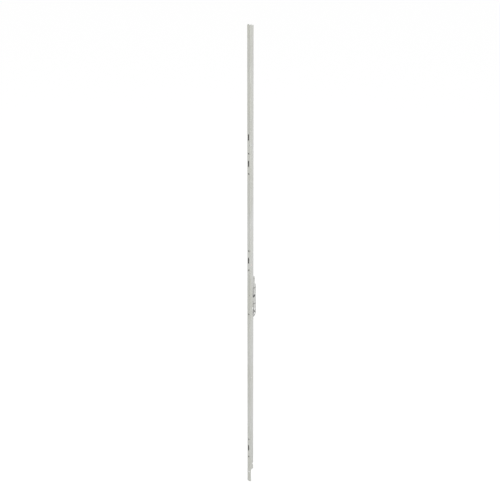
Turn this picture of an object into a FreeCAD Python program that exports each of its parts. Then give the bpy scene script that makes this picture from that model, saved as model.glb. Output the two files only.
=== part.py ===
import FreeCAD, Part
import math
import os

# Multipoint gear of a lift-and-slide door: a long faceplate rail with a drive rod behind it,
# and a slim gearcase whose hub moves the rod when the handle turns by half a turn.
# Millimetres. +Z is up, the faceplate looks along -Y, the spindle runs along X.
# The origin is on the spindle axis, in the middle plane of the gearcase.

Vec = FreeCAD.Vector

# Faceplate rail
sheet = 2.0
flange_depth = 10.0
rail_corner = 1.5
least_inner_corner = 0.4
backset = 27.5
spindle_to_top = 1266.0
spindle_to_end = 972.0
tongue_length = 63.0
tongue_flange = 5.0
tongue_hole_d = 8.5
tongue_hole_rise = 50.5

# Slots for the locking pins of the door frame, and the screw holes beside them
slot_width = 7.0
slot_height = 30.0
slot_shift = -1.5
spare_slot_z = 764.5
upper_lock_z = 642.5
middle_lock_z = 180.0
lower_lock_z = -790.5
screw_offset = 47.0
screw_bore_d = 5.4
sleeve_wall = 0.8
sleeve_sink = 0.8
washer_d = 9.8
washer_thickness = 1.1
sleeve_lip = 0.4

# Small round holes near the edge of the faceplate
pip_d = 3.0
pip_x = 5.0
pip_levels = (729.5, 7.5, -882.0)

# Guide clips between the rail and the rod
guide_top_z = 729.5
guide_step = 570.5
guide_names = ("upper", "middle", "lower")
guide_skin = 1.1
guide_wall = 0.9
guide_length = 12.0
guide_lug_d = 5.0
guide_lug_depth = 7.0
guide_lug_proud = 0.2

# Drive rod, a channel that is open to the back
washer_side_gap = 0.4
rod_wall = 1.5
rod_rear_depth = 23.2
rod_corner = 1.2
rod_top_drop = 3.0
running_gap = 0.3
slot_play = 0.4
coupling_height = 10.0
coupling_depth = 4.3
coupling_rise = 27.0

# Lock plates that catch the heads of the locking pins
lock_plate_thickness = 2.0
plate_side_gap = 0.5
pin_head_d = 6.4
pin_neck_d = 4.0
plate_below_pin = 10.0
plate_above_head = 6.3
plate_rivet_d = 3.0
plate_rivet_edge = 3.0
rivet_head_d = 5.0
rivet_head_height = 0.5

# Hub, a toothed wheel with a square hole
gear_module = 1.25
gear_teeth = 16
pressure_angle = math.radians(20.0)
tooth_play = 0.3
tip_play = 0.3
spindle_square = 10.0
hub_side_play = 0.25
teeth_side_gap = 0.4
journal_d = 16.0
core_d = 17.2
lug_d = 22.4
lug_angle = 240.0
lug_width_angle = 20.0

# Rack
rack_side_gap = 0.2
rack_overhang = 0.1
rack_over = 16.0
rack_rivet_d = 3.0
rack_rivet_depth = 8.0
rack_rivet_step = 24.0
rack_rivet_first = -8.0
rack_rivet_count = 3

# Gearcase, two die-cast halves
case_over_rod = 0.2
case_top = 96.0
case_step = 57.0
case_bottom = -106.0
case_back = 12.6
case_upper_back = 5.6
case_rim = 1.1
case_gear_gap = 0.2
case_wall = 1.5
case_front_gap = 1.2
case_corner = 3.0
case_inner_corner = 2.0
case_bottom_radius = 22.0
case_edge = 0.6
bush_wall = 1.45
bush_thickness = 1.25
spindle_opening_d = 14.8
fit = 0.05

# Handle screws and profile cylinder
handle_screw_spacing = 80.0
handle_screw_d = 6.5
cylinder_drop = 69.0
cylinder_round_d = 17.5
cylinder_tail_width = 10.5
cylinder_height = 33.3
cylinder_screw_drop = 18.5
cylinder_screw_d = 6.0
cylinder_screw_hole_d = 7.0
cam_sweep_d = 31.6
window_left = -4.2
window_right = 1.0
cam_window_top = -57.0
cam_window_end = -78.5
corner_window_top = -85.5
corner_window_end = -97.0
pocket_top = -76.0
pocket_end = -96.0

# Rivets that join the halves, and posts that carry the case on the faceplate
case_rivet_d = 4.0
case_rivet_head_d = 6.4
case_rivet_head = 0.6
case_rivet_places = ((0.5, 87.0), (8.6, 40.0), (8.6, -40.0), (8.3, -82.0), (-0.6, -100.0))
boss_d = 7.4
post_levels = (75.0, -99.0)
post_d = 6.0
post_head_d = 8.6
post_head_depth = 1.3
post_seat = 12.0

# Rubber buffers at the ends of the rack's travel
buffer_height = 4.0
buffer_shelf = 4.3

# Blocking slide, moved by the cam of the profile cylinder
slide_thickness = 2.1
slide_side_gap = 0.4
slide_gap = 0.1
slide_travel = 5.0
slide_nose_top = -14.0
slide_nose_half = 2.5
slide_head_top = -18.0
slide_head_end = -34.0
slide_head_front = -8.0
slide_head_back = 3.5
slide_neck_back = -4.5
slide_arm_top = -36.0
slide_arm_end = -83.5
slide_arm_front = -19.0
slide_arm_back = -10.5
slide_band_end = -52.0
cam_notch_height = 14.0
cam_notch_front = -16.0
slide_pin_d = 2.5
slide_pin_places = ((-1.0, -22.6), (-14.5, -43.0))
slide_clearance = 0.5

# Leaf spring, a bent strip in front of the slide's arm
spring_thickness = 0.4
spring_front_gap = 0.5
spring_width = 1.6
spring_top = -56.0
spring_end = -80.0
spring_bump = -66.0
spring_bump_half = 3.0
spring_foot_height = 5.0

# Places that follow from the sizes above
front_y = -backset
rod_inner = washer_d / 2 + washer_side_gap
rod_half = rod_inner + rod_wall
rail_inner = rod_half + running_gap + guide_wall
rail_half = rail_inner + sheet
lock_plate_half = rod_inner - plate_side_gap
bush_bore_d = journal_d + 2 * fit
bush_outer_d = bush_bore_d + 2 * bush_wall
tongue_top = tongue_length - spindle_to_end
tongue_hole_z = tongue_hole_rise - spindle_to_end
pitch_radius = gear_module * gear_teeth / 2
tip_radius = pitch_radius + gear_module
root_radius = pitch_radius - gear_module - tip_play
tooth_pitch = math.pi * gear_module
rod_travel = math.pi * pitch_radius
web_front = front_y + sheet + guide_skin + running_gap
web_back = web_front + rod_wall
rod_rear = front_y + rod_rear_depth
rod_top = spindle_to_top - rod_top_drop
rod_end = tongue_top
case_half = rod_half + case_over_rod
case_narrow_half = rod_inner - running_gap
case_pocket_half = case_half - case_wall
hub_half = case_narrow_half - bush_thickness - hub_side_play
case_gear_half = hub_half + case_gear_gap
slide_outer = case_gear_half - slide_side_gap
slide_inner = slide_outer - slide_thickness
hub_teeth_end = slide_inner - teeth_side_gap
rack_left = rack_side_gap - hub_half
rack_right = hub_teeth_end + rack_overhang
sleeve_d = screw_bore_d + 2 * sleeve_wall
sleeve_slot = sleeve_d + 2 * slot_play
post_slot = post_d + 2 * slot_play
washer_front = web_back + slot_play
washer_back = washer_front + washer_thickness
case_front = web_back + case_front_gap
case_shoulder = rod_rear + slot_play
cylinder_z = -cylinder_drop
cylinder_screw_z = cylinder_z - cylinder_screw_drop
tail_end = cylinder_z + cylinder_round_d / 2 - cylinder_height
rack_end = -rack_over
rack_top = rod_travel + rack_over
rack_tip = -pitch_radius + gear_module
buffer_upper = rack_top + running_gap
buffer_lower = rack_end - rod_travel - running_gap
channel_top = buffer_upper + buffer_height
channel_end = buffer_lower - buffer_height
lock_levels = {"upper": upper_lock_z, "middle": middle_lock_z, "lower": lower_lock_z}
screw_levels = [z + side * screw_offset for z in lock_levels.values() for side in (1, -1)]
keyhole_width = pin_head_d + 2 * slot_play
neck_width = pin_neck_d + slot_play
head_rise = rod_travel


def box(x0, x1, y0, y1, z0, z1):
    """A block between two corners."""
    return Part.makeBox(x1 - x0, y1 - y0, z1 - z0, Vec(x0, y0, z0))


def rod_x(diameter, x0, x1, y, z):
    """A round bar along X."""
    return Part.makeCylinder(diameter / 2, x1 - x0, Vec(x0, y, z), Vec(1, 0, 0))


def rod_y(diameter, y0, y1, x, z):
    """A round bar along Y."""
    return Part.makeCylinder(diameter / 2, y1 - y0, Vec(x, y0, z), Vec(0, 1, 0))


def cone_y(front_d, back_d, y0, y1, x, z):
    """A cone along Y, for countersunk heads."""
    return Part.makeCone(front_d / 2, back_d / 2, y1 - y0, Vec(x, y0, z), Vec(0, 1, 0))


def rounded_face(corners, place):
    """A flat face with corners (u, v, radius); place turns u and v into a point."""
    edges = []
    count = len(corners)
    starts = []
    ends = []
    for index in range(count):
        u, v, radius = corners[index]
        before = corners[index - 1]
        after = corners[(index + 1) % count]
        here = Vec(u, v, 0)
        to_before = (Vec(before[0], before[1], 0) - here).normalize()
        to_after = (Vec(after[0], after[1], 0) - here).normalize()
        if radius == 0:
            starts.append(here)
            ends.append(here)
            edges.append(None)
            continue
        half_angle = to_before.getAngle(to_after) / 2
        run = radius / math.tan(half_angle)
        middle = (to_before + to_after).normalize()
        centre = here + middle * (radius / math.sin(half_angle))
        start = here + to_before * run
        end = here + to_after * run
        starts.append(start)
        ends.append(end)
        edges.append(Part.Arc(place(start), place(centre - middle * radius), place(end)).toShape())
    outline = []
    for index in range(count):
        if edges[index] is not None:
            outline.append(edges[index])
        following = starts[(index + 1) % count]
        if ends[index].distanceToPoint(following) > 1e-6:
            outline.append(Part.makeLine(place(ends[index]), place(following)))
    return Part.Face(Part.Wire(outline))


def plate_xy(corners, z0, z1):
    """An outline in X and Y, drawn out along Z."""
    return rounded_face(corners, lambda p: Vec(p.x, p.y, z0)).extrude(Vec(0, 0, z1 - z0))


def plate_xz(corners, y0, y1):
    """An outline in X and Z, drawn out along Y."""
    return rounded_face(corners, lambda p: Vec(p.x, y0, p.y)).extrude(Vec(0, y1 - y0, 0))


def plate_yz(corners, x0, x1):
    """An outline in Y and Z, drawn out along X."""
    return rounded_face(corners, lambda p: Vec(x0, p.x, p.y)).extrude(Vec(x1 - x0, 0, 0))


def long_hole_y(width, x, z0, z1, y0, y1):
    """A slot with round ends through a wall across Y; z0 and z1 are its ends."""
    radius = width / 2
    middle = box(x - radius, x + radius, y0, y1, z0 + radius, z1 - radius)
    lower = rod_y(width, y0, y1, x, z0 + radius)
    upper = rod_y(width, y0, y1, x, z1 - radius)
    return middle.fuse([lower, upper])


def long_hole_x(width, y, z0, z1, x0, x1):
    """A slot with round ends through a wall across X; z0 and z1 are its ends."""
    radius = width / 2
    middle = box(x0, x1, y - radius, y + radius, z0 + radius, z1 - radius)
    lower = rod_x(width, x0, x1, y, z0 + radius)
    upper = rod_x(width, x0, x1, y, z1 - radius)
    return middle.fuse([lower, upper])


def channel(half, wall, front, back, corner, z0, z1):
    """A channel section along Z: web at the front, two flanges to the back."""
    inner = half - wall
    inner_corner = max(corner - wall, least_inner_corner)
    return plate_xy([(-half, front, corner), (half, front, corner), (half, back, 0),
                     (inner, back, 0), (inner, front + wall, inner_corner),
                     (-inner, front + wall, inner_corner), (-inner, back, 0), (-half, back, 0)],
                    z0, z1)


def faceplate_rail():
    """Zinc-plated channel with four pin slots, screw holes and a lower tongue."""
    rail = channel(rail_half, sheet, front_y, front_y + flange_depth, rail_corner,
                   -spindle_to_end, spindle_to_top)
    behind = front_y + flange_depth + 1
    cuts = [box(-rail_half - 1, rail_half + 1, front_y + tongue_flange, behind,
                -spindle_to_end - 1, tongue_top)]
    web = (front_y - 1, front_y + sheet + 1)
    for z in (spare_slot_z, *lock_levels.values()):
        cuts.append(long_hole_y(slot_width, slot_shift, z - slot_height / 2, z + slot_height / 2, *web))
    for z in screw_levels:
        cuts.append(rod_y(sleeve_d + 2 * fit, *web, 0, z))
    for z in pip_levels:
        cuts.append(rod_y(pip_d, *web, pip_x, z))
    cuts.append(rod_y(cylinder_screw_hole_d, *web, 0, cylinder_screw_z))
    cuts.append(rod_y(tongue_hole_d, *web, 0, tongue_hole_z))
    for z in post_levels:
        cuts.append(rod_y(post_d + 2 * fit, *web, 0, z))
        cuts.append(cone_y(post_head_d + 2 * fit, post_d + 2 * fit, front_y,
                           front_y + post_head_depth, 0, z))
    for index in range(len(guide_names)):
        z = guide_top_z - index * guide_step
        cuts.append(rod_x(guide_lug_d + 2 * fit, -rail_half - 1, rail_half + 1,
                          front_y + guide_lug_depth, z))
    return rail.cut(cuts)


def guide_clip(z):
    """Moulded clip that wraps the front and sides of the rod; its lugs snap into the flanges."""
    low = z - guide_length / 2
    top = z + guide_length / 2
    cheek = rod_half + running_gap
    front = front_y + sheet
    back = front_y + flange_depth
    clip = channel(rail_inner, rail_inner - cheek, front, back, rail_corner, low, top)
    room = box(-cheek, cheek, front + guide_skin, back + 1, low - 1, top + 1)
    lug = rod_x(guide_lug_d, cheek, rail_half + guide_lug_proud, front_y + guide_lug_depth, z)
    other = rod_x(guide_lug_d, -rail_half - guide_lug_proud, -cheek, front_y + guide_lug_depth, z)
    return clip.fuse([lug, other]).cut(room).removeSplitter()


def screw_sleeve(z):
    """Tubular sleeve for a fixing screw, riveted over a washer behind the rod."""
    body = rod_y(sleeve_d, front_y + sleeve_sink, washer_back, 0, z)
    lip = rod_y(sleeve_d + 2 * sleeve_lip, washer_back, washer_back + sleeve_lip, 0, z)
    bore = rod_y(screw_bore_d, front_y - 1, washer_back + 1, 0, z)
    return body.fuse(lip).cut(bore).removeSplitter()


def sleeve_washer(z):
    """Washer that keeps the rod against the guides."""
    return rod_y(washer_d, washer_front, washer_back, 0, z).cut(
        rod_y(sleeve_d + 2 * fit, washer_front - 1, washer_back + 1, 0, z))


def drive_rod():
    """Channel that slides along the faceplate, with openings for pins, sleeves and posts."""
    rod = channel(rod_half, rod_wall, web_front, rod_rear, rod_corner, rod_end, rod_top)
    web = (web_front - 1, web_back + 1)
    cuts = []
    for z in screw_levels:
        cuts.append(long_hole_y(sleeve_slot, 0, z - sleeve_slot / 2,
                                z + sleeve_slot / 2 + rod_travel, *web))
    for z in lock_levels.values():
        cuts.append(long_hole_y(keyhole_width, slot_shift, z - keyhole_width / 2,
                                z + keyhole_width / 2 + head_rise, *web))
        for rivet in plate_rivet_levels(z):
            cuts.append(rod_y(plate_rivet_d + 2 * fit, *web, 0, rivet))
    cuts.append(long_hole_y(keyhole_width, slot_shift, spare_slot_z - slot_height / 2 - slot_play,
                            spare_slot_z + slot_height / 2 + slot_play + rod_travel, *web))
    cuts.append(long_hole_y(post_slot, 0, post_levels[0] - post_slot / 2,
                            post_levels[0] + post_slot / 2 + rod_travel, *web))
    cuts.append(long_hole_y(post_slot, 0, post_levels[1] - post_slot / 2,
                            cylinder_screw_z + post_slot / 2 + rod_travel, *web))
    fork_top = tongue_hole_z + sleeve_slot / 2 + rod_travel
    cuts.append(long_hole_y(sleeve_slot, 0, rod_end - sleeve_slot, fork_top, *web))
    for z in rack_rivet_levels():
        cuts.append(rod_y(rack_rivet_d + 2 * fit, *web, rack_middle(), z))
    full = (-rod_half - 1, rod_half + 1)
    back = rod_rear + 1
    coupling_z = rod_end + coupling_rise
    cuts.append(box(*full, rod_rear - coupling_depth, back,
                    coupling_z - coupling_height / 2, coupling_z + coupling_height / 2))
    spindle_half = spindle_opening_d / 2 + slot_play
    cuts.append(box(*full, -spindle_half, back, -spindle_half, spindle_half + rod_travel))
    round_half = cylinder_round_d / 2 + slot_play
    cuts.append(box(*full, -round_half, back, tail_end - slot_play,
                    cylinder_z + round_half + rod_travel))
    return rod.cut(cuts)


def plate_rivet_levels(z):
    """Heights of the two rivets of a lock plate."""
    top = z + head_rise + keyhole_width / 2 + plate_above_head
    return (z - plate_below_pin + plate_rivet_edge, top - plate_rivet_edge)


def lock_plate(z):
    """Hardened plate with a keyhole: wide for the pin's head, narrow for its neck."""
    low = z - plate_below_pin
    top = z + head_rise + keyhole_width / 2 + plate_above_head
    plate = plate_xz([(-lock_plate_half, low, 1), (lock_plate_half, low, 1),
                      (lock_plate_half, top, 1), (-lock_plate_half, top, 1)],
                     web_back, web_back + lock_plate_thickness)
    through = (web_back - 1, web_back + lock_plate_thickness + 1)
    cuts = [rod_y(keyhole_width, *through, slot_shift, z + head_rise),
            long_hole_y(neck_width, slot_shift, z - neck_width / 2, z + head_rise, *through)]
    for rivet in plate_rivet_levels(z):
        cuts.append(rod_y(plate_rivet_d + 2 * fit, *through, 0, rivet))
    return plate.cut(cuts)


def plate_rivet(z):
    """Rivet through the rod's web and the lock plate, with a low head behind."""
    back = web_back + lock_plate_thickness
    shank = rod_y(plate_rivet_d, web_front, back, 0, z)
    head = rod_y(rivet_head_d, back, back + rivet_head_height, 0, z)
    return shank.fuse(head).removeSplitter()


def rack_middle():
    """The rack's middle plane in X."""
    return (rack_left + rack_right) / 2


def rack_rivet_levels():
    """Heights of the rivets that hold the rack to the rod."""
    return [rack_rivet_first + index * rack_rivet_step for index in range(rack_rivet_count)]


def gear_rack():
    """Rack on the back of the rod's web, cut with straight-sided teeth."""
    root = -root_radius_rack()
    bar = box(rack_left, rack_right, web_back, root, rack_end, rack_top)
    half_root = tooth_half(root + pitch_radius)
    half_tip = tooth_half(gear_module)
    teeth = []
    first = math.ceil(rack_end / tooth_pitch)
    last = math.floor(rack_top / tooth_pitch)
    for index in range(first, last):
        z = (index + 0.5) * tooth_pitch
        if z - half_root < rack_end or z + half_root > rack_top:
            continue
        teeth.append(plate_yz([(root - 0.5, z - half_root, 0), (root, z - half_root, 0),
                               (rack_tip, z - half_tip, 0), (rack_tip, z + half_tip, 0),
                               (root, z + half_root, 0), (root - 0.5, z + half_root, 0)],
                              rack_left, rack_right))
    rack = bar.fuse(teeth).removeSplitter()
    holes = [rod_y(rack_rivet_d + 2 * fit, web_back - 1, web_back + rack_rivet_depth,
                   rack_middle(), z) for z in rack_rivet_levels()]
    return rack.cut(holes)


def root_radius_rack():
    """Distance of the rack's tooth roots from the spindle axis."""
    return pitch_radius + gear_module + tip_play


def tooth_half(height):
    """Half thickness of a rack tooth, height measured from the pitch line towards the hub."""
    return tooth_pitch / 4 - tooth_play / 2 - height * math.tan(pressure_angle)


def rack_rivet(z):
    """Flush rivet through the rod's web into the rack."""
    return rod_y(rack_rivet_d, web_front, web_back + rack_rivet_depth - fit, rack_middle(), z)


def involute_point(base, radius, sign, middle, half_at_base):
    """A point of a tooth flank: the involute of the base circle, at a radius."""
    roll = math.sqrt(max((radius / base) ** 2 - 1, 0))
    turn = roll - math.atan(roll)
    angle = middle + sign * (half_at_base - turn)
    return Vec(0, radius * math.cos(angle), radius * math.sin(angle))


def gear_wheel(x0, x1):
    """Toothed wheel about the spindle axis with involute flanks."""
    base = pitch_radius * math.cos(pressure_angle)
    half_at_pitch = (tooth_pitch / 2 - tooth_play) / 2 / pitch_radius
    half_at_base = half_at_pitch + math.tan(pressure_angle) - pressure_angle
    radii = [base + (tip_radius - base) * step / 4 for step in range(5)]
    edges = []
    step_angle = 2 * math.pi / gear_teeth
    previous = None
    first = None
    for index in range(gear_teeth):
        middle = math.pi + index * step_angle
        low_root = Vec(0, root_radius * math.cos(middle - half_at_base),
                       root_radius * math.sin(middle - half_at_base))
        high_root = Vec(0, root_radius * math.cos(middle + half_at_base),
                        root_radius * math.sin(middle + half_at_base))
        rising = [involute_point(base, r, -1, middle, half_at_base) for r in radii]
        falling = [involute_point(base, r, 1, middle, half_at_base) for r in reversed(radii)]
        points = [low_root] + rising + falling + [high_root]
        if previous is None:
            first = low_root
        else:
            edges.append(Part.makeLine(previous, low_root))
        for start, end in zip(points, points[1:]):
            edges.append(Part.makeLine(start, end))
        previous = high_root
    edges.append(Part.makeLine(previous, first))
    wheel = Part.Face(Part.Wire(edges)).extrude(Vec(x1 - x0, 0, 0))
    wheel.translate(Vec(x0, 0, 0))
    return wheel


def lug_sector(x0, x1):
    """Stop lug on the hub's core: a sector of a disc, its middle at the lug's angle."""
    low = math.radians(lug_angle - lug_width_angle / 2)
    high = math.radians(lug_angle + lug_width_angle / 2)
    wedge = plate_yz([(0, 0, 0), (lug_d * math.cos(low), lug_d * math.sin(low), 0),
                      (lug_d * math.cos(high), lug_d * math.sin(high), 0)], x0, x1)
    return rod_x(lug_d, x0, x1, 0, 0).common(wedge)


def drive_hub():
    """Hub with a toothed rim, a core with a stop lug, two journals and a square hole."""
    wheel = gear_wheel(-hub_half, hub_teeth_end)
    core = rod_x(core_d, hub_teeth_end, hub_half, 0, 0)
    journal = rod_x(journal_d, -case_narrow_half, case_narrow_half, 0, 0)
    hub = wheel.fuse([core, journal, lug_sector(slide_inner - slide_gap, slide_outer + slide_gap)])
    half = spindle_square / 2
    hole = box(-case_half, case_half, -half, half, -half, half)
    return hub.cut(hole).removeSplitter()


def hub_bush(side):
    """Plastic ring in which a journal of the hub turns."""
    x0 = case_narrow_half - bush_thickness
    x1 = case_narrow_half
    if side < 0:
        x0, x1 = -x1, -x0
    return rod_x(bush_outer_d, x0, x1, 0, 0).cut(
        rod_x(bush_bore_d, x0 - 1, x1 + 1, 0, 0))


def case_outline(inset):
    """Side view of the gearcase, drawn in by an inset."""
    return [(case_front, case_top - inset, 0),
            (case_upper_back - inset, case_top - inset, case_corner),
            (case_upper_back - inset, case_step - inset, case_inner_corner),
            (case_back - inset, case_step - inset, case_corner),
            (case_back - inset, case_bottom + inset, case_bottom_radius - inset),
            (case_front, case_bottom + inset, 0)]


def cylinder_opening(x0, x1):
    """Opening of a profile cylinder: a round head over a narrower tail."""
    head = rod_x(cylinder_round_d, x0, x1, 0, cylinder_z)
    half = cylinder_tail_width / 2
    tail = box(x0, x1, -half, half, tail_end + half, cylinder_z)
    foot = rod_x(cylinder_tail_width, x0, x1, 0, tail_end + half)
    return head.fuse([tail, foot])


def case_body(side):
    """One half of the gearcase before the pockets that only one half has."""
    x0, x1 = (0, case_half) if side > 0 else (-case_half, 0)
    body = plate_yz(case_outline(0), x0, x1)
    outer = case_half * side
    rim = [edge for edge in body.Edges
           if all(abs(vertex.X - outer) < 1e-6 for vertex in edge.Vertexes)
           and edge.BoundBox.YMax > case_shoulder + 1 and edge.BoundBox.YMin > case_front + 1]
    body = body.makeFillet(case_edge, rim)
    relief_x = sorted((case_narrow_half * side, (case_half + 1) * side))
    cuts = [box(relief_x[0], relief_x[1], case_front - 1, case_shoulder,
                case_bottom - 1, case_top + 1)]
    gear = (-case_gear_half, case_gear_half)
    cuts.append(box(*gear, case_front - 1, rack_tip + 1, channel_end, channel_top))
    cuts.append(rod_x(2 * (case_back - case_rim), *gear, 0, 0))
    cuts.append(rod_x(bush_outer_d + 2 * fit, -case_narrow_half, case_narrow_half, 0, 0))
    through = (-case_half - 1, case_half + 1)
    cuts.append(rod_x(spindle_opening_d, *through, 0, 0))
    for z in (handle_screw_spacing / 2, -handle_screw_spacing / 2):
        cuts.append(rod_x(handle_screw_d, *through, 0, z))
    cuts.append(cylinder_opening(*through))
    for z in post_levels:
        cuts.append(rod_y(post_d + 2 * fit, case_front - 1, case_front + post_seat, 0, z))
    cuts.append(rod_y(cylinder_screw_d, case_front - 1, -cylinder_tail_width / 2, 0,
                      cylinder_screw_z))
    inside = plate_yz(case_outline(case_rim), -case_pocket_half, case_pocket_half)
    cam = rod_x(cam_sweep_d, -case_pocket_half, case_pocket_half, 0, cylinder_z)
    low = box(-case_pocket_half, case_pocket_half, -cylinder_tail_width / 2, case_back,
              pocket_end, pocket_top)
    pockets = cam.fuse(low).common(inside)
    boss_y, boss_z = case_rivet_places[3]
    pockets = pockets.cut(rod_x(boss_d, -case_half, case_half, boss_y, boss_z))
    cuts.append(pockets)
    cuts.append(box(window_left, window_right, cylinder_round_d / 2, case_back + 1,
                    cam_window_end, cam_window_top))
    cuts.append(box(window_left, window_right, 0, case_back + 1,
                    corner_window_end, corner_window_top))
    for y, z in case_rivet_places:
        cuts.append(rod_x(case_rivet_d + 2 * fit, *through, y, z))
        sink = sorted((outer, outer - case_rivet_head * side))
        cuts.append(rod_x(case_rivet_head_d + 2 * fit, sink[0], sink[1], y, z))
    return body.cut(cuts)


def gearcase_near():
    """Case half on the +X side, with the room for the blocking slide."""
    low = slide_clearance
    cuts = [box(0, case_gear_half, slide_head_front - low, slide_head_back + low,
                slide_head_end - low, 0),
            box(0, case_gear_half, slide_head_front - low, slide_neck_back + slot_play,
                slide_band_end - low, slide_head_end),
            box(0, case_gear_half, case_front - 1, slide_arm_back + low,
                slide_arm_end - low, slide_arm_top + slide_travel + low),
            box(0, case_gear_half, slide_arm_back - low, slide_head_front,
                slide_band_end - low, slide_arm_top + slide_travel + low)]
    for y, z in slide_pin_places:
        cuts.append(rod_x(slide_pin_d + 2 * fit, case_gear_half - 1, case_narrow_half, y, z))
    return case_body(1).cut(cuts).removeSplitter()


def gearcase_far():
    """Case half on the -X side, with a shelf under the lower buffer."""
    shelf = box(-case_gear_half, rack_right - slide_gap, case_front, slide_arm_back,
                channel_end - buffer_shelf, channel_end)
    return case_body(-1).fuse(shelf).removeSplitter()


def case_rivet(y, z):
    """Rivet with flush heads through both halves."""
    shank = rod_x(case_rivet_d, -case_half, case_half, y, z)
    near = rod_x(case_rivet_head_d, case_half - case_rivet_head, case_half, y, z)
    far = rod_x(case_rivet_head_d, -case_half, case_rivet_head - case_half, y, z)
    return shank.fuse([near, far]).removeSplitter()


def case_post(z):
    """Countersunk post that carries the case behind the faceplate."""
    shank = rod_y(post_d, front_y, case_front + post_seat - fit, 0, z)
    head = cone_y(post_head_d, post_d, front_y, front_y + post_head_depth, 0, z)
    return shank.fuse(head).removeSplitter()


def rack_buffer(z0, z1):
    """Rubber block that ends the rack's travel."""
    return box(rack_left, rack_right - slide_gap, case_front, slide_arm_back, z0, z1)


def blocking_slide():
    """Flat slide: a nose under the hub's lug, and an arm with a notch for the cylinder's cam."""
    outline = [(-slide_nose_half, slide_nose_top, 0.5), (slide_nose_half, slide_nose_top, 0.5),
               (slide_nose_half, slide_head_top, 0), (slide_head_back, slide_head_top, 1),
               (slide_head_back, slide_head_end, 1), (slide_neck_back, slide_head_end, 0),
               (slide_neck_back, slide_band_end, 1), (slide_arm_back, slide_band_end, 0),
               (slide_arm_back, slide_arm_end, 1), (slide_arm_front, slide_arm_end, 1),
               (slide_arm_front, slide_arm_top, 1), (slide_head_front, slide_arm_top, 0),
               (slide_head_front, slide_head_top, 1), (-slide_nose_half, slide_head_top, 0)]
    slide = plate_yz(outline, slide_inner, slide_outer)
    notch_low = cylinder_z - cam_notch_height / 2
    through = (slide_inner - 1, slide_outer + 1)
    cuts = [box(*through, cam_notch_front, slide_arm_back + 1, notch_low,
                notch_low + cam_notch_height)]
    for y, z in slide_pin_places:
        half = slide_pin_d / 2 + slot_play / 2
        cuts.append(long_hole_x(2 * half, y, z - slide_travel - half, z + half, *through))
    return slide.cut(cuts)


def slide_pin(y, z):
    """Pin in the near case half that guides the slide."""
    return rod_x(slide_pin_d, slide_inner - slide_gap, case_narrow_half - slide_gap, y, z)


def slide_spring():
    """Bent strip whose bump stands before the slide's arm; its foot lies on the case wall."""
    back = slide_arm_front - running_gap
    flat_back = back - spring_front_gap
    flat_front = flat_back - spring_thickness
    x0 = slide_outer - spring_width
    strip = plate_yz([(flat_front, spring_end, 0), (flat_back, spring_end, 0),
                      (flat_back, spring_bump - spring_bump_half, 0), (back, spring_bump, 0),
                      (flat_back, spring_bump + spring_bump_half, 0), (flat_back, spring_top, 0),
                      (flat_front, spring_top, 0),
                      (flat_front, spring_bump + spring_bump_half, 0),
                      (back - spring_thickness, spring_bump, 0),
                      (flat_front, spring_bump - spring_bump_half, 0)],
                     x0, slide_outer)
    foot = box(x0, case_gear_half, flat_front, flat_back, spring_top - spring_foot_height,
               spring_top)
    return strip.fuse(foot).removeSplitter()


nodes = {
    "faceplate_rail": faceplate_rail(),
    "screw_sleeves": Part.makeCompound([screw_sleeve(z) for z in screw_levels]),
    "sleeve_washers": Part.makeCompound([sleeve_washer(z) for z in screw_levels]),
    "drive_rod": drive_rod(),
    "lock_plate_rivets": Part.makeCompound(
        [plate_rivet(r) for z in lock_levels.values() for r in plate_rivet_levels(z)]),
    "gear_rack": gear_rack(),
    "rack_rivets": Part.makeCompound([rack_rivet(z) for z in rack_rivet_levels()]),
    "drive_hub": drive_hub(),
    "hub_bushes": Part.makeCompound([hub_bush(1), hub_bush(-1)]),
    "gearcase_near": gearcase_near(),
    "gearcase_far": gearcase_far(),
    "case_rivets": Part.makeCompound([case_rivet(y, z) for y, z in case_rivet_places]),
    "case_posts": Part.makeCompound([case_post(z) for z in post_levels]),
    "rack_buffers": Part.makeCompound(
        [rack_buffer(buffer_upper, channel_top), rack_buffer(channel_end, buffer_lower)]),
    "blocking_slide": blocking_slide(),
    "slide_pins": Part.makeCompound([slide_pin(y, z) for y, z in slide_pin_places]),
    "slide_spring": slide_spring(),
}
for level, height in lock_levels.items():
    nodes["lock_plate_" + level] = lock_plate(height)
for index, level in enumerate(guide_names):
    nodes["guide_clip_" + level] = guide_clip(guide_top_z - index * guide_step)

os.makedirs("parts", exist_ok=True)
for name, shape in nodes.items():
    shape.exportStep("parts/" + name + ".step")
    print(name, "solids", len(shape.Solids), "volume", round(shape.Volume, 1),
          "valid", shape.isValid())
print("rod travel", round(rod_travel, 3))
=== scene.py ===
import math

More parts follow.
